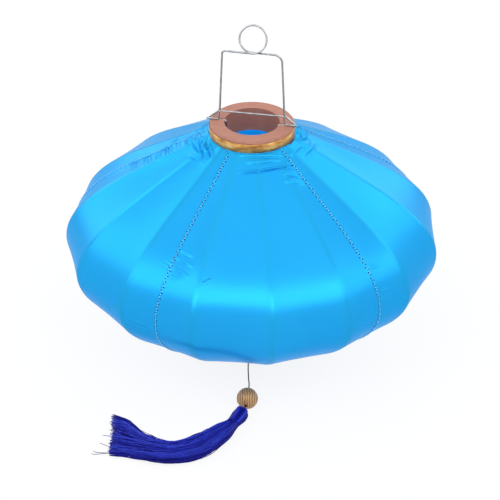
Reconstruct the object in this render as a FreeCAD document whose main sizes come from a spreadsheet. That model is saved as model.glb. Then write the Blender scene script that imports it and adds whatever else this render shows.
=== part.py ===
"""Folding satin lantern, in millimetres, +Z up, origin at the centre of the bottom hub's resting face.

Fifteen bowed bamboo ribs run between two notched wooden hubs and carry a satin shade sewn from five
gores.  A bent wire frame holds the hubs at their distance and ends in a hanging eye.  A bead and a
tassel lie on a thread that is tied to a pin in the bottom hub.
"""

import FreeCAD, Part
import math
import os

import Sketcher
from FreeCAD import Placement, Rotation, Vector

# alias, plain number, what it is
SIZES = [
    ("hub_diameter", "84", "outside of both wooden hubs"),
    ("hub_bore", "55", "hole through both hubs"),
    ("hub_height", "25", "height of each hub"),
    ("hub_ease", "1.6", "slope taken off a hub's outer rim"),
    ("shade_radius", "190", "axis to the satin over a rib, at the waist"),
    ("waist_height", "126", "resting face to the shade's widest level"),
    ("rise_above", "120", "waist up to the satin's top edge"),
    ("drop_below", "118", "waist down to the satin's bottom edge"),
    ("top_reach", "13.5", "top hub's face beyond the satin's edge"),
    ("bottom_reach", "8", "bottom hub's face beyond the satin's edge"),
    ("neck_gap", "3.5", "hub's side to the satin's edge, at a rib"),
    ("neck_slope", "33.5", "slope of the satin at its edges, degrees"),
    ("neck_pull", "70", "handle of the meridian at its edges"),
    ("waist_pull", "49", "handle of the meridian at the waist"),
    ("satin_thickness", "0.8", "satin with the glued tape behind it"),
    ("satin_gap", "0.9", "satin's fold to the back of its rib"),
    ("rib_width", "4", "bamboo strip, around the shade"),
    ("rib_thickness", "2.6", "bamboo strip, into the shade"),
    ("rib_turn", "6", "first rib, from the front towards the right, degrees"),
    ("rib_root", "38", "axis to the ends of the ribs"),
    ("slot_gap", "0.5", "rib to the walls of its slot"),
    ("ring_radius", "40", "axis to the wire that threads the ribs"),
    ("ring_wire", "1", "wire that threads the ribs"),
    ("ring_gap", "0.3", "threading wire to its holes and groove"),
    ("band_start", "2.7", "hub's face to the gilt band"),
    ("band_thickness", "0.6", "gilt band"),
    ("band_gap", "0.1", "glue under the gilt band"),
    ("band_clear", "1.2", "gilt band to the level of the satin's edge"),
    ("frame_wire", "2", "wire of the hanging frame"),
    ("frame_turn", "10.5", "plane of the frame, right end forward, degrees"),
    ("frame_gap", "0.45", "frame wire to the wood beside it"),
    ("frame_bend", "2.5", "bends of the frame at the hubs"),
    ("foot_bend", "1.4", "hairpin bend of the frame's feet"),
    ("leg_bend", "3", "bends of the frame's legs"),
    ("shoulder_bend", "8", "rounder corner of the bail, on the right"),
    ("kerf_sink", "1.25", "hub's face to the centre of the wire in the kerf"),
    ("bail_height", "76", "top hub's face to the bail's bar"),
    ("bail_half", "29.5", "axis to a leg at the bar"),
    ("leg_half", "32.5", "axis to a leg at the spreader"),
    ("leg_height", "10", "top hub's face to the spreader"),
    ("foot_corner", "45.5", "axis to the corner that the hairpin rounds"),
    ("hook_reach", "38", "axis to the end of a hook under the bottom hub"),
    ("eye_radius", "13.5", "hanging eye, to the wire's centre"),
    ("eye_pitch", "2.3", "wire beside itself where the eye closes"),
    ("eye_lean", "25", "eye leaning back, degrees"),
    ("spreader_wire", "1.6", "wire of the spreader"),
    ("spreader_rest", "0.1", "spreader's feet over the hub"),
    ("spreader_foot", "33.4", "axis to the inner end of a spreader's foot"),
    ("spreader_tip", "45.5", "axis to the tip of a spreader's foot"),
    ("pin_diameter", "2.5", "pin that carries the tassel"),
    ("pin_height", "16", "resting face to the pin"),
    ("pin_seat", "5.5", "depth of the pin's holes"),
    ("pin_gap", "0.15", "pin to its holes"),
    ("thread_diameter", "1.2", "tassel's thread"),
    ("thread_groove", "3.4", "width of the thread's groove in the bottom hub"),
    ("thread_depth", "1.9", "depth of that groove"),
    ("thread_turn", "5.5", "that groove, from the front towards the left, degrees"),
    ("bead_diameter", "21.5", "wooden bead"),
    ("bead_bore", "4", "hole through the bead"),
    ("head_diameter", "14", "wound head of the tassel"),
    ("head_length", "13", "wound head, along the thread"),
    ("head_ease", "3", "slope at the head's ends"),
]

# alias, formula over the sizes above
PLACES = [
    ("hub_radius", "=hub_diameter / 2"),
    ("bore_radius", "=hub_bore / 2"),
    ("neck_radius", "=hub_radius + neck_gap"),
    ("top_edge", "=waist_height + rise_above"),
    ("bottom_edge", "=waist_height - drop_below"),
    ("top_face", "=top_edge + top_reach"),
    ("bottom_face", "=bottom_edge - bottom_reach"),
    ("rib_back", "=satin_thickness + satin_gap"),
    ("rib_middle", "=rib_back + rib_thickness / 2"),
    ("rib_end", "=rib_root - rib_thickness / 2 * sin(neck_slope)"),
    ("slot_floor", "=rib_end - slot_gap"),
    ("slot_sink", "=(neck_radius - rib_end) * tan(neck_slope) - rib_back / cos(neck_slope) + slot_gap"),
    ("ring_sink", "=(neck_radius - ring_radius) * tan(neck_slope) - rib_middle / cos(neck_slope)"),
    ("groove_width", "=ring_wire + 2 * ring_gap"),
    ("groove_floor", "=ring_radius - groove_width / 2"),
    ("kerf_width", "=frame_wire + 2 * frame_gap"),
    ("kerf_depth", "=kerf_sink + frame_bend - frame_gap / 2"),
    ("stay_half", "=bore_radius - frame_gap - frame_wire / 2"),
    ("spreader_side", "=frame_wire / 2 + frame_gap + spreader_wire / 2"),
    ("spreader_sole", "=top_face + spreader_rest + spreader_wire / 2"),
    ("pin_half", "=bore_radius + pin_seat - pin_gap"),
]

GORES = 5
RIBS_PER_GORE = 3
RIBS = GORES * RIBS_PER_GORE
RIB_STEP = 360 / RIBS
SEAM_GAP = 0.1  # degrees left open between two gores
LEVELS = 8  # straight steps in each half of a meridian
WIRE_SIDES = 6  # flats round a wire or a thread
BAND_SIDES = 60  # flats round a gilt band
BEAD_SIDES = 20  # flats round the bead, and twice as many as from pole to pole
TASSEL_SIDES = 12  # flats round the tassel
PAST = 2  # a cutting tool runs this far past the wood
FLAT = 1e-5  # four corners within this distance lie in one plane

# the thread from the pin to the head: down, under the hub, along the table, up through the bead
THREAD_ROUTE = [
    (0, 0, 14.6),
    (0, 0, 0.9),
    (-1.6, -22, 0.9),
    (-4.2, -48, 0.9),
    (-3.6, -77, 0.9),
    (-2.4, -107.9, 13.3),
    (-7.0, -138.6, 8.6),
]
BEAD_AT = (-4.75, -123.6, 10.8)
HEAD_AT = (-9.6, -145.4, 7.4)
HEAD_AXIS = (-0.42, -0.90, -0.06)
TABLE_GAP = 0.2

# the tassel's strands, from the head to the fanned end: place, width across, height above the table
STRANDS = [
    ((-12.9, -152.3), 12.5, 12.5),
    ((-23, -166), 22, 14),
    ((-38, -181.5), 27, 15),
    ((-55.5, -194), 30, 15),
    ((-77, -200.5), 30, 14.5),
    ((-97, -197), 33, 13),
    ((-113, -188), 44, 10.5),
    ((-137, -180), 62, 8),
]

doc = FreeCAD.newDocument("FoldingLantern")
sheet = doc.addObject("Spreadsheet::Sheet", "Sizes")
for row, (alias, value, *note) in enumerate(SIZES + PLACES, start=1):
    sheet.set(f"A{row}", note[0] if note else alias)
    sheet.set(f"B{row}", value)
    sheet.setAlias(f"B{row}", alias)
doc.recompute()


def size(alias):
    """A value of the sheet."""
    return float(getattr(sheet, alias))


def bind(item, prop, formula):
    """Tie a property to the sheet; each name in braces is an alias."""
    item.setExpression(prop, formula.replace("{", "Sizes.").replace("}", ""))


def turn(degrees):
    """A rotation about the lantern's axis."""
    return Rotation(Vector(0, 0, 1), degrees)


def feature(label, shape, placement=Placement()):
    """A sub-part whose shape comes from this script's own functions."""
    item = doc.addObject("Part::Feature", label)
    item.Label = label
    item.Shape = shape
    item.Placement = placement
    return item


def polygon(corners):
    return Part.makePolygon(corners + corners[:1])


def skin(sections, ring=False):
    """A solid over sections with as many corners each: capped at both ends, or closed into a ring."""
    faces = []
    pairs = list(zip(sections, sections[1:]))
    if ring:
        pairs.append((sections[-1], sections[0]))
    else:
        faces = [Part.Face(polygon(sections[0])), Part.Face(polygon(sections[-1]))]
    for one, two in pairs:
        for k, corner in enumerate(one):
            after = (k + 1) % len(one)
            quad = [corner, one[after], two[after], two[k]]
            normal = (quad[2] - quad[0]).cross(quad[3] - quad[1]).normalize()
            if abs((quad[1] - quad[0]).dot(normal)) < FLAT:
                faces.append(Part.Face(polygon(quad)))
            else:
                faces.append(Part.Face(polygon(quad[:3])))
                faces.append(Part.Face(polygon([quad[0], quad[2], quad[3]])))
    shell = Part.makeCompound(faces)
    shell.sewShape()
    solid = Part.makeSolid(shell.Shells[0])
    if solid.Volume < 0:
        solid.reverse()
    return solid


def lathe(profile, sides, start=0):
    """A profile in X and Z carried round the axis in straight steps."""
    turns = [turn(start + 360 * k / sides) for k in range(sides)]
    return skin([[step.multVec(point) for point in profile] for step in turns], ring=True)


def flats(centre, direction, diameter, sides):
    """Corners of a regular outline square to a direction, with the area of a circle of that diameter."""
    share = math.sqrt(2 * math.pi / (sides * math.sin(2 * math.pi / sides)))
    circle = Part.Circle(centre, direction, share * diameter / 2)
    return [circle.value(2 * math.pi * k / sides) for k in range(sides)]


# ---------------------------------------------------------------- hubs


def sketch_on(body, role, name, placement=Placement()):
    """A sketch on one of the body's own origin planes."""
    plane = next(item for item in body.Origin.OriginFeatures if item.Role == role)
    sketch = body.newObject("Sketcher::SketchObject", name)
    sketch.AttachmentSupport = (plane, [""])
    sketch.MapMode = "FlatFace"
    sketch.AttachmentOffset = placement
    return sketch


def rectangle(sketch, left, right, low, high):
    """Four lines whose sides stand at the four formulas, measured from the sketch's origin."""
    sides = {"left": left, "right": right, "low": low, "high": high}
    for name, formula in sides.items():
        sides[name] = formula.replace("{", "Sizes.").replace("}", "")
    at = {name: float(sketch.evalExpression(formula)) for name, formula in sides.items()}
    corners = [
        Vector(at["left"], at["low"], 0),
        Vector(at["right"], at["low"], 0),
        Vector(at["right"], at["high"], 0),
        Vector(at["left"], at["high"], 0),
    ]
    for k, corner in enumerate(corners):
        sketch.addGeometry(Part.LineSegment(corner, corners[(k + 1) % 4]), False)
    for k in range(4):
        sketch.addConstraint(Sketcher.Constraint("Coincident", k, 2, (k + 1) % 4, 1))
        sketch.addConstraint(Sketcher.Constraint("Vertical" if k % 2 else "Horizontal", k))
    drives = {"left": ("DistanceX", 0, 1), "right": ("DistanceX", 0, 2)}
    drives.update({"low": ("DistanceY", 0, 1), "high": ("DistanceY", 2, 1)})
    for name, (kind, line, end) in drives.items():
        index = sketch.addConstraint(Sketcher.Constraint(kind, -1, 1, line, end, at[name]))
        sketch.renameConstraint(index, name)
        sketch.setExpression("Constraints." + name, sides[name])


def pocket(body, sketch, name, depth, both_ways=False):
    """A pocket of the given depth into the solid, or half of it each way from the sketch."""
    before = body.Shape.Volume
    cut = body.newObject("PartDesign::Pocket", name)
    cut.Profile = sketch
    cut.Type = "Length"
    bind(cut, "Length", depth)
    cut.Midplane = both_ways
    cut.Reversed = not both_ways
    doc.recompute()
    if not cut.Shape.Volume < before:
        raise RuntimeError(name + " cuts nothing")
    return cut


def hub(label, reach):
    """A hub with its outer face at height 0: bore, threading groove, kerfs for the frame, rib slots."""
    flip = 1 if label == "bottom_hub" else -1
    body = doc.addObject("PartDesign::Body", label)
    body.Label = label

    section = sketch_on(body, "XZ_Plane", label + "_section")
    rectangle(section, "{bore_radius}", "{hub_radius}", "0 mm", "{hub_height}")
    blank = body.newObject("PartDesign::Revolution", label + "_blank")
    blank.Profile = section
    blank.ReferenceAxis = (section, ["V_Axis"])
    blank.Angle = 360
    doc.recompute()

    rim = [
        f"Edge{k}"
        for k, edge in enumerate(blank.Shape.Edges, start=1)
        if edge.Curve.TypeId == "Part::GeomCircle"
        and math.isclose(edge.Curve.Radius, size("hub_radius"), abs_tol=1e-6)
        and math.isclose(edge.BoundBox.ZMax, 0, abs_tol=1e-6)
    ]
    eased = body.newObject("PartDesign::Chamfer", label + "_rim")
    eased.Base = (blank, rim)
    bind(eased, "Size", "{hub_ease}")
    doc.recompute()

    level = "{" + reach + "} - {ring_sink}"
    channel = sketch_on(body, "XZ_Plane", label + "_channel")
    rectangle(
        channel,
        "{groove_floor}",
        f"{{hub_radius}} + {PAST}",
        level + " - {groove_width} / 2",
        level + " + {groove_width} / 2",
    )
    groove = body.newObject("PartDesign::Groove", label + "_groove")
    groove.Profile = channel
    groove.ReferenceAxis = (channel, ["V_Axis"])
    groove.Angle = 360
    doc.recompute()

    # measured from the rib slot that stands on +X before the hub is placed
    kerf_turn = flip * (90 - size("rib_turn") - size("frame_turn"))
    kerf = sketch_on(body, "XY_Plane", label + "_kerf_lines", Placement(Vector(), turn(kerf_turn)))
    rectangle(
        kerf,
        f"-{{hub_radius}} - {PAST}",
        f"{{hub_radius}} + {PAST}",
        "-{kerf_width} / 2",
        "{kerf_width} / 2",
    )
    pocket(body, kerf, label + "_kerf", "{kerf_depth}")

    if label == "bottom_hub":
        thread_turn = -size("thread_turn") - size("rib_turn")
        lines = sketch_on(body, "XY_Plane", "thread_lines", Placement(Vector(), turn(thread_turn)))
        rectangle(lines, "0 mm", f"{{hub_radius}} + {PAST}", "-{thread_groove} / 2", "{thread_groove} / 2")
        pocket(body, lines, "thread_groove", "{thread_depth}")

        across = Rotation(Vector(0, 1, 0), kerf_turn)
        hole = sketch_on(body, "XZ_Plane", "pin_hole_circle", Placement(Vector(), across))
        hole.addGeometry(Part.Circle(Vector(0, size("pin_height"), 0), Vector(0, 0, 1), 1), False)
        hole.addConstraint(Sketcher.Constraint("PointOnObject", 0, 3, -2))
        for name, kind, place, formula in (
            ("height", "DistanceY", (-1, 1, 0, 3), "Sizes.pin_height"),
            ("radius", "Radius", (0,), "Sizes.pin_diameter / 2 + Sizes.pin_gap"),
        ):
            value = float(hole.evalExpression(formula))
            index = hole.addConstraint(Sketcher.Constraint(kind, *place, value))
            hole.renameConstraint(index, name)
            hole.setExpression("Constraints." + name, formula)
        pocket(body, hole, "pin_holes", "2 * ({bore_radius} + {pin_seat})", both_ways=True)

    notch = sketch_on(body, "XZ_Plane", label + "_notch")
    rectangle(
        notch,
        "{slot_floor}",
        f"{{hub_radius}} + {PAST}",
        "{" + reach + "} - {slot_sink}",
        f"{{hub_height}} + {PAST}",
    )
    slot = pocket(body, notch, label + "_slot", "{rib_width} + 2 * {slot_gap}", both_ways=True)
    slots = body.newObject("PartDesign::PolarPattern", label + "_slots")
    slots.Originals = [slot]
    slots.Axis = (notch, ["V_Axis"])
    slots.Angle = 360
    slots.Occurrences = RIBS
    body.Tip = slots
    return body


def hubs():
    """Both hubs, faces outward, with a slot on each rib."""
    bottom = hub("bottom_hub", "bottom_reach")
    bottom.Placement = Placement(Vector(), turn(size("rib_turn") - 90))
    bind(bottom, "Placement.Base.z", "{bottom_face}")
    top = hub("top_hub", "top_reach")
    over = Rotation(Vector(1, 0, 0), 180)
    top.Placement = Placement(Vector(), turn(size("rib_turn") - 90) * over)
    bind(top, "Placement.Base.z", "{top_face}")


def trim_band(label, edge, face):
    """A gilt band glued round a hub's side, between the satin's edge and the hub's eased rim."""
    outward = math.copysign(1, size(face) - size(edge))
    low = size(edge) + outward * size("band_clear")
    high = size(face) - outward * size("band_start")
    # the flats of the inside stay clear of the round wood
    inner = (size("hub_radius") + size("band_gap")) / math.cos(math.pi / BAND_SIDES)
    outer = inner + size("band_thickness")
    corners = [Vector(inner, 0, low), Vector(outer, 0, low), Vector(outer, 0, high), Vector(inner, 0, high)]
    feature(label, lathe(corners, BAND_SIDES))


def rib_ring(label, level):
    """The wire that threads the ribs' ends in the hub's groove, drawn straight from rib to rib."""
    # its corners stand between the ribs, so that it meets each rib at the ring's own radius
    middle = Vector(size("ring_radius") / math.cos(math.radians(RIB_STEP / 2)), 0, level)
    section = flats(middle, Vector(0, 1, 0), size("ring_wire"), WIRE_SIDES)
    feature(label, lathe(section, RIBS, size("rib_turn") - 90 + RIB_STEP / 2))


# ---------------------------------------------------------------- ribs and gores


def meridian(inset):
    """Upper and lower half of the shade's outline, moved in by inset, and each one's tangent at its edge.

    A half is a Bezier curve from the satin's edge to the waist, taken in LEVELS straight steps.
    """
    slope = math.radians(size("neck_slope"))
    # the handles of an arc that turns as far shorten by this share of the inset
    share = 4 / 3 * math.tan((math.pi / 2 - slope) / 4)
    waist = Vector(size("shade_radius") - inset, 0, size("waist_height"))
    halves = []
    for side, edge in ((1, size("top_edge")), (-1, size("bottom_edge"))):
        tangent = Vector(math.cos(slope), 0, -side * math.sin(slope))
        outward = Vector(math.sin(slope), 0, side * math.cos(slope))
        neck = Vector(size("neck_radius"), 0, edge) - outward * inset
        from_neck = neck + tangent * (size("neck_pull") - share * inset)
        to_waist = waist + Vector(0, 0, side * (size("waist_pull") - share * inset))
        curve = Part.BezierCurve()
        curve.setPoles([neck, from_neck, to_waist, waist])
        halves.append(([curve.value(k / LEVELS) for k in range(LEVELS + 1)], tangent))
    return halves


def outline(outer_inset, inner_inset, root=0):
    """Corners between two meridians in the plane of X and Z, run straight on past both edges by root."""
    sides = []
    for inset in (outer_inset, inner_inset):
        (upper, from_top), (lower, from_bottom) = meridian(inset)
        side = upper + lower[-2::-1]
        if root:
            side = [upper[0] - from_top * root] + side + [lower[0] - from_bottom * root]
        sides.append(side)
    return sides[0] + sides[1][::-1]


def ribs():
    """Bamboo strips bowed along the meridians, pierced near both ends for the threading wires."""
    slope = math.radians(size("neck_slope"))
    back, thickness, width = size("rib_back"), size("rib_thickness"), size("rib_width")
    middle_neck = size("neck_radius") - size("rib_middle") * math.sin(slope)
    root = (middle_neck - size("rib_root")) / math.cos(slope)
    strip = Part.Face(polygon(outline(back, back + thickness, root))).extrude(Vector(0, width, 0))
    strip.translate(Vector(0, -width / 2, 0))
    start, across = Vector(size("ring_radius"), -width / 2 - PAST, 0), Vector(0, 1, 0)
    for level in (size("top_edge") + size("ring_sink"), size("bottom_edge") - size("ring_sink")):
        hole = flats(start + Vector(0, 0, level), across, size("groove_width"), WIRE_SIDES)
        strip = strip.cut(Part.Face(polygon(hole)).extrude(across * (width + 2 * PAST)))
    for k in range(RIBS):
        azimuth = size("rib_turn") + k * RIB_STEP
        feature(f"rib_{k + 1:02d}", strip.copy(), Placement(Vector(), turn(azimuth - 90)))


def gores():
    """Satin panels, flat across each pair of ribs and sewn midway between ribs."""
    section = outline(0, size("satin_thickness"))
    half_step = math.radians(RIB_STEP / 2)
    half_gore = RIBS_PER_GORE * RIB_STEP / 2
    seam_turn = half_gore - SEAM_GAP / 2
    seam_share = math.cos(half_step) / math.cos(half_step - math.radians(SEAM_GAP / 2))
    folds = [(-seam_turn, seam_share), (seam_turn, seam_share)]
    folds += [(k * RIB_STEP, 1) for k in range(-(RIBS_PER_GORE // 2), RIBS_PER_GORE // 2 + 1)]
    sections = []
    for azimuth, share in sorted(folds):
        at = [Vector(share * corner.x, 0, corner.z) for corner in section]
        sections.append([turn(azimuth).multVec(corner) for corner in at])
    gore = skin(sections)
    for k in range(GORES):
        azimuth = size("rib_turn") + (RIBS_PER_GORE * k + RIBS_PER_GORE // 2) * RIB_STEP
        feature(f"satin_gore_{k + 1}", gore.copy(), Placement(Vector(), turn(azimuth - 90)))


# ---------------------------------------------------------------- wires and thread


def bent_rod(points, bends, diameter):
    """A rod along straight runs joined by tangent arcs, one bend radius for each inner point."""
    edges = []
    start = points[0]
    for before, corner, after, radius in zip(points, points[1:], points[2:], bends):
        arriving = (corner - before).normalize()
        leaving = (after - corner).normalize()
        half_turn = arriving.getAngle(leaving) / 2
        reach = radius * math.tan(half_turn)
        inward = (leaving - arriving).normalize() * (radius / math.cos(half_turn) - radius)
        enter, leave = corner - arriving * reach, corner + leaving * reach
        edges.append(Part.LineSegment(start, enter).toShape())
        edges.append(Part.Arc(enter, corner + inward, leave).toShape())
        start = leave
    edges.append(Part.LineSegment(start, points[-1]).toShape())
    path = Part.Wire(edges)
    section = polygon(flats(points[0], points[1] - points[0], diameter, WIRE_SIDES))
    rod = path.makePipeShell([section], True, False)
    expected = Part.Face(section).Area * path.Length
    if not math.isclose(rod.Volume, expected, rel_tol=0.02):
        raise RuntimeError("a rod's volume differs from its section times its length")
    return rod, path.Length


def mirrored(points):
    """The same points on the other side of the axis, in reverse order."""
    return [Vector(-point.x, point.y, point.z) for point in reversed(points)]


def hanging_frame():
    """One wire: hook, stay up through the hubs, foot in a kerf, leg, bar, eye, and the same back down."""
    top, bottom = size("top_face"), size("bottom_face")
    bar, sink = top + size("bail_height"), size("kerf_sink")
    right = [
        Vector(size("bail_half"), 0, bar),
        Vector(size("leg_half"), 0, top + size("leg_height")),
        Vector(size("foot_corner"), 0, top - sink),
        Vector(size("stay_half"), 0, top - sink),
        Vector(size("stay_half"), 0, bottom + sink),
        Vector(size("hook_reach"), 0, bottom + sink),
    ]
    bends = [size(name) for name in ("leg_bend", "foot_bend", "frame_bend", "frame_bend")]

    # the eye is an octagon whose corners are rounded until it is a ring; it closes beside itself
    sides = 8
    radius, pitch = size("eye_radius"), size("eye_pitch")
    lean = math.radians(size("eye_lean"))
    corner_reach = radius / math.cos(math.pi / sides)
    eye = []
    for k in range(sides):
        angle = math.radians(-90 + 360 / sides * (k + 0.5))
        rise = radius + corner_reach * math.sin(angle)
        aside = pitch * (k / (sides - 1) - 0.5)
        across = corner_reach * math.cos(angle)
        eye.append(Vector(across, rise * math.sin(lean) + aside, bar + rise * math.cos(lean)))
    eye_bend = 0.97 * radius

    points = mirrored(right) + eye + right
    radii = bends[::-1] + [size("leg_bend")] + [eye_bend] * sides + [size("shoulder_bend")] + bends
    wire, _ = bent_rod(points, radii, size("frame_wire"))
    feature("hanging_frame", wire, Placement(Vector(), turn(-size("frame_turn"))))


def spreader():
    """The cross wire that keeps the legs apart, with its feet on the top hub in front of the frame."""
    side, sole = -size("spreader_side"), size("spreader_sole")
    right = [
        Vector(size("leg_half"), side, size("top_face") + size("leg_height")),
        Vector(size("spreader_foot"), side, sole),
        Vector(size("spreader_tip"), side, sole),
    ]
    bend = size("spreader_wire")
    wire, _ = bent_rod(mirrored(right) + right, [bend] * 4, size("spreader_wire"))
    feature("spreader_wire", wire, Placement(Vector(), turn(-size("frame_turn"))))


def tassel_pin():
    """The pin across the bottom hub's bore, square to the frame."""
    pin = doc.addObject("Part::Cylinder", "tassel_pin")
    pin.Label = "tassel_pin"
    bind(pin, "Radius", "{pin_diameter} / 2")
    bind(pin, "Height", "2 * {pin_half}")
    lying = turn(-size("frame_turn")) * Rotation(Vector(1, 0, 0), -90)
    start = lying.multVec(Vector(0, 0, -size("pin_half")))
    pin.Placement = Placement(start + Vector(0, 0, size("bottom_face") + size("pin_height")), lying)


def tassel():
    """The thread with its bead, the wound head and the strands, lying on the table in front."""
    route = [Vector(*point) for point in THREAD_ROUTE]
    radii = []
    for before, corner, after in zip(route, route[1:], route[2:]):
        runs = corner - before, after - corner
        shorter = min(run.Length for run in runs)
        radii.append(0.45 * shorter / math.tan(runs[0].getAngle(runs[1]) / 2))
    thread, length = bent_rod(route, radii, size("thread_diameter"))
    feature("tassel_thread", thread)
    print("thread's bend radii:", [round(radius, 1) for radius in radii], "length:", round(length, 1))

    # the bead's profile runs from the mouth of its hole over the equator to the other mouth
    ball, bore = size("bead_diameter") / 2, size("bead_bore") / 2
    mouth = math.asin(bore / ball)
    steps = BEAD_SIDES // 2
    angles = [mouth + (math.pi - 2 * mouth) * k / steps for k in range(steps + 1)]
    profile = [Vector(ball * math.sin(angle), 0, ball * math.cos(angle)) for angle in angles]
    through = Rotation(Vector(0, 0, 1), route[-1] - route[-2])
    feature("wooden_bead", lathe(profile, BEAD_SIDES), Placement(Vector(*BEAD_AT), through))

    # the head is wound round the thread and eased at both ends
    radius, half, ease = size("head_diameter") / 2, size("head_length") / 2, size("head_ease")
    stations = [(-half, radius - ease), (ease - half, radius), (half - ease, radius), (half, radius - ease)]
    upright = Vector(0, 0, 1)
    head = skin([flats(upright * at, upright, 2 * reach, TASSEL_SIDES) for at, reach in stations])
    feature("tassel_head", head, Placement(Vector(*HEAD_AT), Rotation(upright, Vector(*HEAD_AXIS))))

    sections = []
    places = [Vector(x, y, 0) for (x, y), _, _ in STRANDS]
    for k, (_, width, height) in enumerate(STRANDS):
        ahead, behind = places[min(k + 1, len(places) - 1)], places[max(k - 1, 0)]
        across = (ahead - behind).cross(Vector(0, 0, 1)).normalize()
        middle = places[k] + Vector(0, 0, height / 2 + TABLE_GAP)
        corners = []
        for side in range(TASSEL_SIDES):
            angle = 2 * math.pi * (side + 0.5) / TASSEL_SIDES
            up = Vector(0, 0, height / 2 * math.sin(angle))
            corners.append(middle + across * (width / 2 * math.cos(angle)) + up)
        sections.append(corners)
    feature("tassel_skirt", skin(sections))


hubs()
trim_band("top_trim_band", "top_edge", "top_face")
trim_band("bottom_trim_band", "bottom_edge", "bottom_face")
rib_ring("top_rib_ring", size("top_edge") + size("ring_sink"))
rib_ring("bottom_rib_ring", size("bottom_edge") - size("ring_sink"))
ribs()
gores()
hanging_frame()
spreader()
tassel_pin()
tassel()
doc.recompute()

NODES = ["top_hub", "bottom_hub", "top_trim_band", "bottom_trim_band", "top_rib_ring", "bottom_rib_ring"]
NODES += [f"rib_{k + 1:02d}" for k in range(RIBS)]
NODES += [f"satin_gore_{k + 1}" for k in range(GORES)]
NODES += ["hanging_frame", "spreader_wire", "tassel_pin"]
NODES += ["tassel_thread", "wooden_bead", "tassel_head", "tassel_skirt"]

for item in doc.Objects:
    if {"Invalid", "Error"} & set(item.State):
        raise RuntimeError(f"{item.Label} failed: {item.State}")
subparts = {item.Label: item for item in doc.Objects if item.Label in NODES}
for label in NODES:
    shape = subparts[label].Shape
    if shape.isNull() or not shape.isValid() or not shape.Solids:
        raise RuntimeError(f"{label} has no valid solid")

os.makedirs("parts", exist_ok=True)
for label in NODES:
    subparts[label].Shape.exportStep(os.path.join("parts", label + ".step"))
print(len(NODES), "sub-parts")
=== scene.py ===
"""Looks of the folding satin lantern, in metres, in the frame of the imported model."""

import math

import bpy
import numpy as np
from mathutils import Matrix, Vector


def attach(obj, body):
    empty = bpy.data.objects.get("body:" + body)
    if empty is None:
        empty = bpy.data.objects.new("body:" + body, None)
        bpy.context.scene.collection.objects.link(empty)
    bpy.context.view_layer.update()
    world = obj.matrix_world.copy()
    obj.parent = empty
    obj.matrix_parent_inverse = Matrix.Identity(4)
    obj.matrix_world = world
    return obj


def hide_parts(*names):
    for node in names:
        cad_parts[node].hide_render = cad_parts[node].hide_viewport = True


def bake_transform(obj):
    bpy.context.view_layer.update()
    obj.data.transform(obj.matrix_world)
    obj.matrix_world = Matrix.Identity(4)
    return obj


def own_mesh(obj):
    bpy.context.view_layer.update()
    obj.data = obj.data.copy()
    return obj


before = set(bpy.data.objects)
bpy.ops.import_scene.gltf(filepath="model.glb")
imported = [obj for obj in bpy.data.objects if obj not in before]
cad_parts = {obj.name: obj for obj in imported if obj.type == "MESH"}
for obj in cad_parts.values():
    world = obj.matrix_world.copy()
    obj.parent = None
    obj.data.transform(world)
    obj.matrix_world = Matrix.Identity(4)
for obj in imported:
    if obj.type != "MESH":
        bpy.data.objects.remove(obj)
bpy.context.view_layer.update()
scene = bpy.context.scene
MM = 0.001

# ------------------------------------------------------------------ camera

WAIST = Vector((0, 0, 0.126))
ELEVATION = math.radians(32.2)
DISTANCE = 2.25

camera = bpy.data.objects.new("camera", bpy.data.cameras.new("camera"))
scene.collection.objects.link(camera)
scene.camera = camera
back = Vector((0, -math.cos(ELEVATION), math.sin(ELEVATION)))
camera.location = WAIST + back * DISTANCE
camera.rotation_mode = "QUATERNION"
camera.rotation_quaternion = (-back).to_track_quat("-Z", "Y")
camera.data.lens = 158.4
camera.data.sensor_width = 36
camera.data.shift_x = -0.004
camera.data.shift_y = -0.029

# ------------------------------------------------------------------ materials


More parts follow.
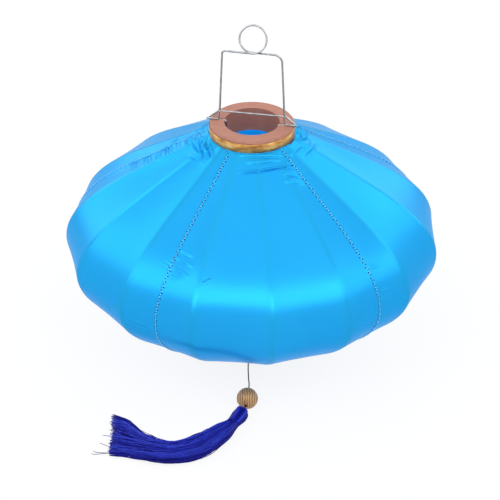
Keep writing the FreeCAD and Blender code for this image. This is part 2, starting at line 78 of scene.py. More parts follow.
class Nodes:
    """A short way to write a node material."""

    def __init__(self, name):
        self.material = bpy.data.materials.new(name)
        self.material.use_nodes = True
        self.tree = self.material.node_tree
        self.shader = self.tree.nodes["Principled BSDF"]

    def add(self, kind, inputs=None, **props):
        node = self.tree.nodes.new(kind)
        for key, value in props.items():
            setattr(node, key, value)
        for key, value in (inputs or {}).items():
            if isinstance(value, bpy.types.NodeSocket):
                self.tree.links.new(value, node.inputs[key])
            else:
                node.inputs[key].default_value = value
        return node

    def set(self, **values):
        for key, value in values.items():
            socket = self.shader.inputs[key.replace("_", " ")]
            if isinstance(value, bpy.types.NodeSocket):
                self.tree.links.new(value, socket)
            else:
                socket.default_value = value

    def ramp(self, factor, stops):
        node = self.add("ShaderNodeValToRGB", {"Fac": factor})
        ramp = node.color_ramp
        while len(ramp.elements) < len(stops):
            ramp.elements.new(0.5)
        for element, (place, colour) in zip(ramp.elements, stops):
            element.position = place
            element.color = (*colour, 1)
        return node.outputs["Color"]

    def noise(self, vector, scale, detail, rough=0.55):
        inputs = {"Vector": vector, "Scale": scale, "Detail": detail, "Roughness": rough}
        return self.add("ShaderNodeTexNoise", inputs).outputs["Fac"]

    def stretched(self, source, factors):
        inputs = {"Vector": source, "Scale": factors}
        return self.add("ShaderNodeMapping", inputs).outputs["Vector"]

    def math(self, operation, one, two):
        inputs = {0: one, 1: two}
        return self.add("ShaderNodeMath", inputs, operation=operation).outputs[0]

    def bump(self, height, distance, strength):
        inputs = {"Height": height, "Distance": distance, "Strength": strength}
        return self.add("ShaderNodeBump", inputs).outputs["Normal"]

    def lets_light_through(self, share, colour):
        """Part of the light that meets the surface comes out on its other side."""
        through = self.add("ShaderNodeBsdfTranslucent")
        through.inputs["Color"].default_value = (*colour, 1)
        both = self.add("ShaderNodeMixShader", {1: self.shader.outputs[0], 2: through.outputs[0]})
        both.inputs[0].default_value = share
        self.tree.links.new(both.outputs[0], self.tree.nodes["Material Output"].inputs["Surface"])

    def place(self):
        return self.add("ShaderNodeTexCoord").outputs["Object"]

    def uv(self):
        return self.add("ShaderNodeTexCoord").outputs["UV"]


def satin():
    m = Nodes("satin")
    uv = m.uv()
    cloud = m.noise(uv, 9, 3)
    colour = m.ramp(cloud, [(0.3, (0.019, 0.430, 0.840)), (0.7, (0.023, 0.460, 0.880))])
    float_threads = m.noise(m.stretched(uv, (240, 2600, 1)), 1, 2, 0.5)
    weft = m.noise(m.stretched(uv, (2200, 260, 1)), 1, 2, 0.5)
    height = m.math("ADD", float_threads, m.math("MULTIPLY", weft, 0.6))
    m.set(Base_Color=colour, Roughness=0.26, Normal=m.bump(height, 0.00002, 0.3))
    m.set(Metallic=0.36, Specular_IOR_Level=0.05, Specular_Tint=(0.05, 0.68, 1, 1))
    m.set(Sheen_Weight=0.03, Sheen_Roughness=0.4)
    m.lets_light_through(0.28, (0.003, 0.38, 0.92))
    return m.material


def wood(name, dark, light, along=(0.10, 1, 1)):
    """Wood whose grain runs along the axis with the small factor."""
    m = Nodes(name)
    place = m.place()
    grain = m.noise(m.stretched(place, tuple(620 * f for f in along)), 1, 5, 0.6)
    figure = m.noise(place, 30, 3)
    blend = m.math("ADD", m.math("MULTIPLY", grain, 0.55), m.math("MULTIPLY", figure, 0.45))
    colour = m.ramp(blend, [(0.30, dark), (0.68, light)])
    pores = m.noise(m.stretched(place, tuple(1900 * f for f in along)), 1, 3)
    roughness = m.math("ADD", m.math("MULTIPLY", figure, 0.2), 0.5)
    height = m.math("ADD", grain, m.math("MULTIPLY", pores, 0.5))
    m.set(Base_Color=colour, Roughness=roughness, Normal=m.bump(height, 0.00007, 0.5))
    m.set(Specular_IOR_Level=0.35)
    return m.material


def striped_wood(name, pale, dark):
    """Turned wood cut through its yearly rings, which lie square to X."""
    m = Nodes(name)
    place = m.place()
    rings = {"Vector": place, "Scale": 132, "Distortion": 4.5, "Detail": 2, "Detail Scale": 0.9}
    stripes = m.add("ShaderNodeTexWave", rings, bands_direction="X").outputs["Fac"]
    fibre_lines = m.noise(m.stretched(place, (1800, 220, 160)), 1, 3)
    blend = m.math("ADD", m.math("MULTIPLY", stripes, 0.75), m.math("MULTIPLY", fibre_lines, 0.3))
    middle = tuple((p * 1.3 + d) / 2.3 for p, d in zip(pale, dark))
    colour = m.ramp(blend, [(0.12, dark), (0.38, middle), (0.62, pale)])
    m.set(Base_Color=colour, Roughness=0.38, Normal=m.bump(blend, 0.00008, 0.5))
    return m.material


def gilt():
    m = Nodes("gilt")
    uv = m.uv()
    patches = m.noise(m.stretched(uv, (70, 160, 1)), 1, 3, 0.5)
    rubbing = m.noise(m.stretched(uv, (260, 900, 1)), 1, 3)
    blend = m.math("ADD", m.math("MULTIPLY", patches, 0.8), m.math("MULTIPLY", rubbing, 0.2))
    stops = [(0.36, (0.30, 0.130, 0.035)), (0.50, (0.60, 0.295, 0.075)), (0.64, (0.86, 0.54, 0.20))]
    roughness = m.math("ADD", m.math("MULTIPLY", patches, 0.3), 0.26)
    m.set(Base_Color=m.ramp(blend, stops), Roughness=roughness, Metallic=0.6)
    m.set(Normal=m.bump(blend, 0.00012, 0.5))
    return m.material


def steel(name, dark, light, rough):
    m = Nodes(name)
    place = m.place()
    spangle = m.noise(place, 160, 3)
    drawn = m.noise(place, 2600, 2)
    colour = m.ramp(spangle, [(0.3, dark), (0.7, light)])
    roughness = m.math("ADD", m.math("MULTIPLY", spangle, 0.2), rough)
    m.set(Base_Color=colour, Roughness=roughness, Metallic=0.9, Normal=m.bump(drawn, 0.00002, 0.4))
    return m.material


def strand_material():
    """The tassel's threads; each point's "strand" attribute says how light its strand is, from its own tone
    and from painted light and shade.
    """
    m = Nodes("tassel_rayon")
    shade = m.add("ShaderNodeAttribute", attribute_name="strand").outputs["Fac"]
    stops = [(0.0, (0.003, 0.003, 0.085)), (0.5, (0.011, 0.013, 0.300)), (1.0, (0.050, 0.082, 0.650))]
    twist = m.noise(m.place(), 1800, 2)
    roughness = m.math("ADD", m.math("MULTIPLY", twist, 0.2), 0.30)
    m.set(Base_Color=m.ramp(shade, stops), Roughness=roughness, Normal=m.bump(twist, 0.00008, 0.5))
    m.set(Specular_IOR_Level=0.15, Specular_Tint=(0.5, 0.55, 1, 1))
    return m.material


def fibre(name, dark, light, rough=0.6):
    m = Nodes(name)
    twist = m.noise(m.place(), 1500, 3)
    m.set(Base_Color=m.ramp(twist, [(0.3, dark), (0.7, light)]), Roughness=rough)
    m.set(Normal=m.bump(twist, 0.0001, 0.6), Specular_IOR_Level=0.12)
    return m.material


SATIN = satin()
HUB_WOOD = wood("hub_wood", (0.300, 0.122, 0.083), (0.420, 0.192, 0.140))
BAMBOO = wood("bamboo", (0.42, 0.27, 0.12), (0.72, 0.52, 0.28), along=(1, 1, 0.12))
BEAD_WOOD = striped_wood("bead_wood", (0.57, 0.320, 0.128), (0.17, 0.072, 0.023))
GILT = gilt()
WIRE = steel("galvanised_wire", (0.23, 0.235, 0.245), (0.40, 0.405, 0.42), 0.24)
RING = steel("rib_wire", (0.34, 0.33, 0.32), (0.50, 0.49, 0.47), 0.3)
RAYON = strand_material()
THREAD = fibre("thread", (0.006, 0.007, 0.02), (0.03, 0.035, 0.09))
STITCH = fibre("stitches", (0.14, 0.62, 0.95), (0.36, 0.84, 1.0), 0.5)
# the needle holes are dark discs on the satin: painted shade where the dark inside shows
NEEDLE_HOLE_SHADE = fibre("needle_hole_shade", (0.001, 0.022, 0.090), (0.002, 0.050, 0.17), 0.8)
PULLED = fibre("pulled_thread", (0.003, 0.10, 0.30), (0.006, 0.20, 0.50), 0.6)

# ------------------------------------------------------------------ mesh helpers


def mesh_object(name, points, faces, material, uvs=None):
    """A smooth mesh object; uvs holds one pair for each point."""
    mesh = bpy.data.meshes.new(name)
    mesh.from_pydata([tuple(p) for p in points], [], [tuple(int(i) for i in f) for f in faces])
    mesh.polygons.foreach_set("use_smooth", [True] * len(mesh.polygons))
    if uvs is not None:
        layer = mesh.uv_layers.new(name="UVMap")
        index = np.zeros(len(mesh.loops), int)
        mesh.loops.foreach_get("vertex_index", index)
        layer.data.foreach_set("uv", np.asarray(uvs, np.float32)[index].ravel())
    mesh.materials.append(material)
    mesh.update()
    item = bpy.data.objects.new(name, mesh)
    scene.collection.objects.link(item)
    return item


def grid_faces(rows, columns, closed=False):
    """Faces of a grid of points; a closed one joins its last column to its first."""
    faces = []
    for r in range(rows - 1):
        for c in range(columns if closed else columns - 1):
            d = (c + 1) % columns
            faces.append((r * columns + c, r * columns + d, (r + 1) * columns + d, (r + 1) * columns + c))
    return faces


def ring_faces(rows, columns):
    """Faces of a closed grid whose last row is joined to its first too."""
    last = (rows - 1) * columns
    return grid_faces(rows, columns, closed=True) + [
        (last + c, last + (c + 1) % columns, (c + 1) % columns, c) for c in range(columns)]


def end_faces(sides, count):
    """The two flat ends of a tube with count points."""
    return [tuple(range(sides))[::-1], tuple(range(count - sides, count))]


def tube(path, radius, sides):
    """Points and faces of a tube along a path, with a section that doesn't twist."""
    path = np.asarray(path, float)
    ahead = np.gradient(path, axis=0)
    ahead /= np.linalg.norm(ahead, axis=1)[:, None]
    side = np.cross(ahead[0], (0, 0, 1) if abs(ahead[0][2]) < 0.9 else (1, 0, 0))
    side /= np.linalg.norm(side)
    radii = np.broadcast_to(radius, len(path))
    angles = np.arange(sides) * 2 * math.pi / sides
    points = []
    for here, direction, reach in zip(path, ahead, radii):
        side = side - direction * (side @ direction)
        side /= np.linalg.norm(side)
        other = np.cross(direction, side)
        points += [here + reach * (math.cos(a) * side + math.sin(a) * other) for a in angles]
    return points, grid_faces(len(path), sides, closed=True) + end_faces(sides, len(points))


def joined(parts):
    """Several point and face lists as one."""
    points, faces = [], []
    for more_points, more_faces in parts:
        shift = len(points)
        points += list(more_points)
        faces += [tuple(i + shift for i in face) for face in more_faces]
    return points, faces


def waves(x, seed, lengths, count=6):
    """A repeatable smooth random function of x, about -1 to 1, with wavelengths in the given range."""
    rng = np.random.default_rng(seed)
    total = np.zeros_like(np.asarray(x, float))
    for _ in range(count):
        total += np.sin(2 * math.pi * x / rng.uniform(*lengths) + rng.uniform(0, 2 * math.pi))
    return total / math.sqrt(count)


# ------------------------------------------------------------------ cord

# from here on, lengths are in millimetres until MM turns them into metres
THREAD_RADIUS = 0.6
THREAD_ROUTE = [
    (0, 0, 14.6),
    (0, 0, 0.9),
    (-1.6, -22, 0.9),
    (-4.2, -48, 0.9),
    (-3.6, -77, 0.9),
    (-2.4, -107.9, 13.3),
    (-7.0, -138.6, 8.6),
]

thread_curve = bpy.data.curves.new("tassel_thread_line", "CURVE")
thread_curve.dimensions = "3D"
thread_curve.bevel_depth = THREAD_RADIUS * MM
thread_curve.bevel_resolution = 4
thread_curve.resolution_u = 24
spline = thread_curve.splines.new("NURBS")
spline.points.add(len(THREAD_ROUTE) - 1)
for point, place in zip(spline.points, THREAD_ROUTE):
    point.co = (*[value * MM for value in place], 1)
spline.order_u = 3
spline.use_endpoint_u = True
thread_curve.materials.append(THREAD)
thread = bpy.data.objects.new("tassel_thread_line", thread_curve)
scene.collection.objects.link(thread)
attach(thread, "base")
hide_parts("tassel_thread")

# ------------------------------------------------------------------ shade

NECK, TOP_EDGE, BOTTOM_EDGE = 45.5, 246.0, 8.0  # the satin's edges: their radius and levels
RADIUS, LEVEL = 190.0, 126.0  # at the waist
SLOPE = math.radians(33.5)  # of the satin at its edges
NECK_PULL, WAIST_PULL = 70, 49  # how far the meridian keeps its direction at each end
TUCK = 2.5  # how far the satin runs on past its edges
RIBS, FIRST_RIB, RIB_STEP = 15, 6.0, 24.0  # azimuths in degrees, 0 in front and 90 at the right
RIB_HALF = 2.0  # half the width of a rib
SEAMS = [-30.0, 42.0, 114.0, 186.0, 258.0]
FAR_LEFT = SEAMS[4]
HALF_GORE = 1.5 * RIB_STEP


def meridian(count, tuck=0.0):
    """Distance, radius, height and unit normal of the satin's outer face, from its top edge to its bottom.

    A tuck carries the line on past both edges, towards the hubs."""
    points = []
    for side, edge in ((1, TOP_EDGE), (-1, BOTTOM_EDGE)):
        poles = np.array([
            (NECK, edge),
            (NECK + NECK_PULL * math.cos(SLOPE), edge - side * NECK_PULL * math.sin(SLOPE)),
            (RADIUS, LEVEL + side * WAIST_PULL),
            (RADIUS, LEVEL),
        ])
        t = np.linspace(0, 1, 400)[:, None]
        curve = ((1 - t) ** 3 * poles[0] + 3 * (1 - t) ** 2 * t * poles[1]
                 + 3 * (1 - t) * t ** 2 * poles[2] + t ** 3 * poles[3])
        if tuck:
            curve = np.vstack([(NECK - tuck * math.cos(SLOPE), edge + side * tuck * math.sin(SLOPE)), curve])
        points.append(curve if side == 1 else curve[::-1][1:])
    line = np.vstack(points)
    lengths = np.concatenate([[0], np.cumsum(np.linalg.norm(np.diff(line, axis=0), axis=1))])
    along = np.linspace(0, lengths[-1], count)
    r, z = (np.interp(along, lengths, line[:, k]) for k in (0, 1))
    ahead = np.stack([np.gradient(r), np.gradient(z)], 1)
    ahead /= np.linalg.norm(ahead, axis=1)[:, None]
    return along - tuck, r, z, np.stack([-ahead[:, 1], ahead[:, 0]], 1)


S_LINE, R_LINE, Z_LINE, N_LINE = meridian(900, TUCK)
TOTAL = S_LINE[-1] - TUCK

# Folds of the slack satin: the azimuth and distance of each end, the width and the depth.
FOLDS = [
    # under the top hub, at the front and the sides
    (-13, 20.5, 41.5, 19, 0.8, 2.30), (-17, 1.5, 41, 7, 1.2, 0.85), (-8, 9, 34, 10.5, 1.2, 0.75),
    (31, 17, 41.5, 27, 1.0, 1.30), (27, 25, 41.5, 36, 1.1, 1.30), (25, 33, 41, 44, 1.3, 0.90),
    (-92, 10, -58, 12, 1.3, 1.60), (-88, 3, -48, 19, 1.2, 2.00), (-97, 19, -62, 16, 1.5, 1.40),
    (-74, 1.5, -44, 13, 1.1, 1.80), (-52, 2, -78, 18, 1.0, 1.30), (76, 3, 96, 15, 1.1, 1.40),
    (-106, 28, -84, 21, 1.6, 1.10), (-112, 45, -96, 50, 1.4, 0.80), (-100, 56, -88, 60, 1.4, 0.60),
    (-74, 27, -52, 22, 1.6, 0.80), (72, 4.5, 108, 5.5, 1.5, 1.90), (88, 12, 122, 15, 1.6, 1.50),
    (60, 18, 92, 23, 1.7, 0.90), (46, 9, 74, 11, 1.6, 0.80),
    # beside the two seams at the front
    (-29.5, 116, -23.5, 119, 1.0, 0.75), (-29.5, 125, -22.5, 129, 1.1, 0.95),
    (-29.5, 134, -23, 140, 1.0, 0.90), (-29.5, 143, -25, 147, 0.9, 0.50), (-41, 200, -31, 204, 1.1, 0.70),
    (-41, 206, -30.5, 210, 1.1, 0.85), (-40, 213, -31, 216, 1.1, 0.80), (-39, 220, -31, 224, 1.1, 0.70),
    (42.5, 150, 47, 153, 1.0, 0.45), (42.5, 176, 48, 180, 1.1, 0.50), (36, 205, 41.5, 203, 1.1, 0.60),
    (37, 213, 41.5, 211, 1.1, 0.55),
    # behind, under the hub and beside the other seams
    (126, 7, 176, 9, 1.6, 1.70), (150, 17, 205, 14, 1.7, 1.30), (196, 4, 238, 6, 1.5, 1.80),
    (214, 20, 256, 15, 1.7, 1.20), (108, 90, 113.5, 95, 1.1, 0.70), (107, 99, 113.5, 103, 1.1, 0.80),
    (186.5, 130, 193, 127, 1.1, 0.80), (186.5, 140, 192, 138, 1.1, 0.70),
    (178, 208, 185.5, 205, 1.1, 0.80), (258.5, 60, 267, 66, 1.2, 0.80), (258.5, 70, 266, 77, 1.2, 0.70),
    (115, 212, 122, 215, 1.1, 0.75),
]


def apart(azimuth, other):
    """The angle in degrees from one azimuth to another, -180 to 180."""
    return (azimuth - other + 180) % 360 - 180


def fold_lift(a, s, radius, fold):
    """A crease with a fuller crest beside it, which dies away at both ends."""
    a0, s0, a1, s1, width, depth = fold
    middle_radius = np.interp((s0 + s1) / 2, S_LINE, R_LINE)
    across = math.radians(a1 - a0) * middle_radius
    down = s1 - s0
    long = math.hypot(across, down)
    x, y = np.radians(apart(a, a0)) * radius, s - s0
    t = np.clip((x * across + y * down) / long ** 2, 0, 1)
    # a pulled crease takes a shorter way across the cone, so its middle lies nearer the hub
    bow = -across * abs(across) * math.cos(SLOPE) / (5 * middle_radius) * t * (1 - t)
    off = (y * across - x * down) / long - bow
    fade = np.sin(math.pi * t) ** 0.7
    crest = np.exp(-((off + 1.9 * width) / (1.6 * width)) ** 2)
    return depth * fade * (crest - 1.15 * np.exp(-(off / (0.62 * width)) ** 2))


def cloth(azimuth, distance, proud=0.0):
    """Points of the satin, in mm, at azimuths in degrees and distances down from its top edge."""
    a, s = np.broadcast_arrays(np.asarray(azimuth, float), np.asarray(distance, float))
    radius, height, nr, nz = (
        np.interp(s, S_LINE, line) for line in (R_LINE, Z_LINE, N_LINE[:, 0], N_LINE[:, 1]))
    # flat over each rib's own face, and straight from the edge of one rib to the next
    half = math.radians(RIB_STEP / 2)
    from_rib = np.abs(np.radians((a - FIRST_RIB + RIB_STEP / 2) % RIB_STEP - RIB_STEP / 2))
    on_rib = radius / np.cos(from_rib)
    between = (radius * math.cos(half) + RIB_HALF * math.sin(half)) / np.cos(half - from_rib)
    out = np.minimum(on_rib, between) - 0.10 * np.log1p(np.exp(-np.abs(on_rib - between) / 0.10))
    corner = np.arctan(RIB_HALF / radius)
    share = np.clip((from_rib - corner) / (half - corner), 0, 1)
    # the satin is pulled tight along the ribs, so it sinks a little between them
    lift = -0.3 - 0.9 * (radius / RADIUS) ** 1.3 * (1 - (1 - share) ** 2)
    # small gathers where the satin is glued round each rib ring
    lift += 0.22 * np.exp(-s / 14) * share * waves(a, 3, (5, 14))
    lift += 0.25 * np.exp(-(TOTAL - s) / 16) * share * waves(a, 9, (5, 15))
    for fold in FOLDS:
        lift += fold_lift(a, s, radius, fold)
    for k, seam in enumerate(SEAMS):
        aside = np.radians(apart(a, seam)) * radius
        patch = np.clip(0.35 + 0.65 * waves(s, 40 + k, (50, 120), 3), 0.1, 1.3)
        drawn, pitch, reach = 0.16, (3.6, 7), 6.5
        if seam == FAR_LEFT:
            # this seam draws the satin in front of it into a comb of short puckers
            combed = np.exp(-((s - 62) / 44) ** 4) / (1 + np.exp(-aside / 0.6))
            drawn, pitch, reach = 0.16 + 1.0 * combed, (3.6, 5.2), 6.5 + 4 * combed
            patch = np.maximum(patch, 0.9 * combed)
        pucker = waves(s + 0.35 * np.abs(aside), 20 + 2 * k, pitch)
        lift += drawn * patch * np.exp(-np.abs(aside) / reach) * pucker
        lift += 0.30 * np.exp(-(aside / 1.5) ** 2) + 0.16 * np.exp(-((aside - 3.2) / 1.6) ** 2)
    # broad slackness
    lift += 0.16 * share * waves(s + 1.3 * a, 77, (60, 120))
    # nothing sinks into a rib
    lowest = -0.75 - 5 * share
    lift = lowest + 0.15 * np.logaddexp(0, (lift - lowest) / 0.15)
    out_r, out_z = out + nr * (lift + proud), height + nz * (lift + proud)
    angle = np.radians(a)
    return np.stack([out_r * np.sin(angle), -out_r * np.cos(angle), out_z], -1)


def neck_gap(azimuth, distance):
    """The distance moved down where the satin stops short of the hub, at its right between two ribs."""
    opening = np.exp(-(apart(np.asarray(azimuth, float), 66) / 9.5) ** 4)
    return distance + 1.7 * opening * np.clip(1 - (distance + TUCK) / 8, 0, 1)


# the points of a gore lie closest under the hub, and beside the ribs' edges and the seams
rows = np.concatenate([
    np.arange(-TUCK, 50, 0.5), np.arange(50, 92, 0.8), np.arange(92, TOTAL - 30, 1.2),
    np.linspace(TOTAL - 30, TOTAL + TUCK, 30)])
near_rib = np.array([0.3, 0.5, 0.6, 0.7, 0.85, 1.1, 1.5, 2.0, 2.6])
near_rib = np.concatenate([-near_rib, [0], near_rib])
near_seam = np.array([0.15, 0.3, 0.45, 0.6, 0.8, 1.0, 1.3, 1.6])
columns = np.unique(np.round(np.concatenate(
    [np.linspace(-HALF_GORE, HALF_GORE, 67), near_seam - HALF_GORE, HALF_GORE - near_seam]
    + [k * RIB_STEP + near_rib for k in (-1, 0, 1)]), 3))


def stretched_piece(item):
    """Bakes a piece's place into its mesh and gives the piece back."""
    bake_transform(item)
    return item


for number, seam in enumerate(SEAMS):
    centre = seam + HALF_GORE
    azimuths, distances = np.meshgrid(centre + columns, rows)
    points = cloth(azimuths, neck_gap(azimuths, distances)) * MM
    u = np.radians(azimuths - centre) * np.interp(distances, S_LINE, R_LINE) * MM
    uvs = np.stack([u, distances * MM], -1).reshape(-1, 2)
    gore = mesh_object(f"gore_{number + 1}_satin", points.reshape(-1, 3),
                       grid_faces(len(rows), len(columns)), SATIN, uvs)
    stretched_piece(gore)
    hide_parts(f"satin_gore_{number + 1}")

# the turned edge of the satin at each neck
HEM_RADIUS, HEM_SIDES = 0.5, 8
round_neck = np.arange(0, 360, 1.5)
for name, distance in (("neck_hem_top", -TUCK), ("neck_hem_bottom", TOTAL + TUCK)):
    ring = cloth(round_neck, neck_gap(round_neck, distance), 0.15)
    outward = ring / np.linalg.norm(ring[:, :2], axis=1)[:, None] * (1, 1, 0)
    points = []
    for k in range(HEM_SIDES):
        angle = 2 * math.pi * k / HEM_SIDES
        points.append(ring + HEM_RADIUS * (math.cos(angle) * outward + np.array([0, 0, math.sin(angle)])))
    points = np.stack(points).reshape(-1, 3) * MM
    around = np.tile(np.radians(round_neck) * NECK, HEM_SIDES)
    across = np.repeat(np.arange(HEM_SIDES) * 0.4, len(round_neck))
    uvs = np.stack([around, across], 1) * MM
    hem = mesh_object(name, points, ring_faces(HEM_SIDES, len(round_neck)), SATIN, uvs)
    stretched_piece(hem)

# stitches along each seam: short runs of thread, slanting to and fro, that dive at the needle holes, each
# hole a dark disc of painted shade
PITCH, STITCH_RADIUS, SEAM_HALF = 2.9, 0.38, 0.8
run = np.array([0.28, 0.36, 0.5, 0.64, 0.72])  # shares of the way from one hole to the next
height = np.array([-0.1, 0.3, 0.42, 0.3, -0.1])
spokes = np.arange(6) * math.pi / 3
for number, seam in enumerate(SEAMS):
    stitches, holes = [], []
    hole = 0.5 if seam == FAR_LEFT else 0.85
    for k, place in enumerate(np.arange(1.5, TOTAL - 1.5, PITCH)):
        radius = np.interp(place, S_LINE, R_LINE)
        side = SEAM_HALF if k % 2 else -SEAM_HALF
        turns = seam + np.degrees(side * (1 - 2 * run) / radius)
        path = cloth(turns, neck_gap(turns, place + run * PITCH), height)
        stitches.append(tube(path * MM, STITCH_RADIUS * MM, 5))
        # a dark disc round each needle hole, painted shade
        around = seam + np.degrees((side + hole * np.cos(spokes)) / radius)
        rim = cloth(around, neck_gap(around, place + hole * np.sin(spokes)), 0.22)
        holes.append((list(rim * MM), [tuple(range(6))]))
    stretched_piece(mesh_object(f"seam_{number + 1}_stitches", *joined(stitches), STITCH))
    stretched_piece(mesh_object(f"seam_{number + 1}_needle_hole_shade", *joined(holes), NEEDLE_HOLE_SHADE))

# a thread of the satin that has been pulled, at the front
wander = 0.5 * np.sin(np.linspace(0, 7, 9))
pull = cloth(np.linspace(-17, -14.2, 9), np.linspace(139.2, 135.2, 9) + wander, 0.15)
thickness = np.array([1, 3, 4, 3, 2, 4, 5, 3, 1]) * 0.10
stretched_piece(mesh_object("pulled_thread", *tube(pull * MM, thickness * MM, 6), PULLED))

# ------------------------------------------------------------------ ribs

RIB_BACK = 1.2  # from the satin's outer face to the rib's
RIB_SECTION = [(-2, 0.35), (-1.65, 0), (1.65, 0), (2, 0.35), (2, 2.25), (1.65, 2.6), (-1.65, 2.6), (-2, 2.25)]
RIB_END = 7.5  # how far a rib runs straight on, inwards from the neck into its slot

_, r_rib, z_rib, n_rib = meridian(90)
steps = np.linspace(RIB_END / math.cos(SLOPE), 0, 8)[:-1]
inward, rise = steps * math.cos(SLOPE), steps * math.sin(SLOPE)
r_all = np.concatenate([NECK - inward, r_rib, NECK - inward[::-1]])
z_all = np.concatenate([TOP_EDGE + rise, z_rib, BOTTOM_EDGE - rise[::-1]])
n_all = np.vstack([np.repeat(n_rib[:1], len(steps), 0), n_rib, np.repeat(n_rib[-1:], len(steps), 0)])
section = [(x, RIB_BACK + y) for x, y in RIB_SECTION]
for number in range(RIBS):
    azimuth = math.radians(FIRST_RIB + number * RIB_STEP)
    radial = np.array([math.sin(azimuth), -math.cos(azimuth), 0])
    aside = np.array([math.cos(azimuth), math.sin(azimuth), 0])
    up = np.array([0, 0, 1.0])
    # the bamboo swells a little at each of its joints
    swells = 1 + 0.10 * np.exp(-((((np.arange(len(r_all)) * 3.7 + 23 * number) % 92) - 46) / 3.0) ** 2)
    points = []
    for r_here, z_here, (nr_here, nz_here), swell in zip(r_all, z_all, n_all, swells):
        for x, y in section:
            depth = RIB_BACK + (y - RIB_BACK) * swell
            outer = radial * (r_here - nr_here * depth) + up * (z_here - nz_here * depth)
            points.append((outer + aside * x * swell) * MM)
    faces = grid_faces(len(r_all), len(section), closed=True) + end_faces(len(section), len(points))
    rib = mesh_object(f"rib_{number + 1:02d}_bamboo", points, faces, BAMBOO)
    stretched_piece(rib)
    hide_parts(f"rib_{number + 1:02d}")

# ------------------------------------------------------------------ gilt bands

BAND_RADIUS = 42.25


def band(name, satin_side, far_side, body, node):
    """Gilt paper round a hub, lapped over itself at one place, with a hand-cut edge beside the satin."""
    columns = 150
    angles = np.linspace(0, 2 * math.pi + math.radians(7), columns)
    lap = np.linspace(0, 0.35, columns)
    points, uvs = [], []
    for k, share in enumerate((0, 0.04, 0.5, 0.96, 1)):
        for column, angle in enumerate(angles):
            edge = 0.18 * math.sin(9 * angle + 1) + 0.12 * math.sin(23 * angle)
            z = satin_side + (far_side - satin_side) * share + (edge if share in (0, 0.04) else 0)
            r = BAND_RADIUS + lap[column] + (0.28 if 0 < share < 1 else 0)
            points.append((r * math.sin(angle) * MM, -r * math.cos(angle) * MM, z * MM))
            uvs.append((angle * 0.042, z * MM))
    item = mesh_object(name, points, grid_faces(5, columns), GILT, uvs)
    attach(item, body)
    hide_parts(node)


band("gilt_band_top", 247.2, 256.8, "crown", "top_trim_band")
band("gilt_band_bottom", 6.8, 2.7, "base", "bottom_trim_band")

# ------------------------------------------------------------------ wires

FRAME_TURN = Matrix.Rotation(math.radians(-10.5), 3, "Z")
TOP_FACE = 259.5
BAR = TOP_FACE + 76
FRAME_WIRE, SPREADER_WIRE = 1.0, 0.8  # radii
BEND_STEPS, LONGEST_STEP = 8, 6


def bent(points, radii):
    """A bent wire's line: straight runs and round bends, with no long steps."""
    points = [np.array(p, float) for p in points]
    line = [points[0]]
    for before, corner, after, radius in zip(points, points[1:], points[2:], radii):
        arriving = (corner - before) / np.linalg.norm(corner - before)
        leaving = (after - corner) / np.linalg.norm(after - corner)
        turn = math.acos(np.clip(arriving @ leaving, -1, 1))
        reach = radius * math.tan(turn / 2)
        start = corner - arriving * reach
        inward = leaving - arriving
        inward /= np.linalg.norm(inward)
        centre = corner + inward * radius / math.cos(turn / 2)
        spoke = start - centre
        side = arriving * radius
        for k in range(BEND_STEPS + 1):
            angle = turn * k / BEND_STEPS
            line.append(centre + spoke * math.cos(angle) + side * math.sin(angle))
    line.append(points[-1])
    spread = [line[0]]
    for one, two in zip(line, line[1:]):
        pieces = max(1, int(np.linalg.norm(two - one) / LONGEST_STEP))
        spread += [one + (two - one) * (k + 1) / pieces for k in range(pieces)]
    return np.array(spread)


def turned(line):
    """A line in metres, turned round the axis as the frame is."""
    return np.array([tuple(FRAME_TURN @ Vector(p)) for p in line]) * MM


# one leg of the frame, from the bail down: shoulder, shin, foot in the kerf, stay and hook
SHOULDER, SHIN, FOOT, STAY, HOOK = 29.5, 32.5, 45.5, 26.05, 38.0
SHIN_TOP, KERF_SINK, HOOK_LEVEL = TOP_FACE + 10, 1.25, 1.25
right = [(SHOULDER, 0, BAR), (SHIN, 0, SHIN_TOP), (FOOT, 0, TOP_FACE - KERF_SINK),
         (STAY, 0, TOP_FACE - KERF_SINK), (STAY, 0, HOOK_LEVEL), (HOOK, 0, HOOK_LEVEL)]
left = [(-x, y, z) for x, y, z in reversed(right)]

# the eye: eight corners round a circle that leans back, each end of it passing beside the other
EYE_RADIUS, EYE_BEND, EYE_LEAN, EYE_PITCH = 13.5, 13.1, math.radians(25), 2.3
corner_reach = EYE_RADIUS / math.cos(math.pi / 8)
eye = []
for k in range(8):
    angle = math.radians(-90 + 45 * (k + 0.5))
    rise = EYE_RADIUS + corner_reach * math.sin(angle)
    eye.append((corner_reach * math.cos(angle), rise * math.sin(EYE_LEAN) + EYE_PITCH * (k / 7 - 0.5),
                BAR + rise * math.cos(EYE_LEAN)))
bends = [3, 1.4, 2.5, 2.5]  # shin, foot and the stay's two ends
LEFT_SHOULDER, RIGHT_SHOULDER = 3, 8  # bends of the bail's corners
whole = bent(left + eye + right,
             bends[::-1] + [LEFT_SHOULDER] + [EYE_BEND] * 8 + [RIGHT_SHOULDER] + bends)

# the frame is cut in three on its bar, beside the eye
on_bar = np.flatnonzero((np.abs(whole[:, 2] - BAR) < 0.05) & (np.abs(whole[:, 0]) < 29))
first = next(i for i in on_bar if whole[i, 0] > -9)
last = [i for i in on_bar if whole[i, 0] < 9][-1]

for name, line in (("hanging_wire_left", whole[:first + 1]), ("hanging_wire_right", whole[last:])):
    points, faces = tube(turned(line), FRAME_WIRE * MM, 14)
    side_wire = mesh_object(name, points, faces, WIRE)
    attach(side_wire, "base")
    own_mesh(side_wire)
points, faces = tube(turned(whole[first:last + 1]), FRAME_WIRE * MM, 14)
eye_wire = mesh_object("hanging_eye_wire", points, faces, WIRE)
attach(eye_wire, "base")
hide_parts("hanging_frame")

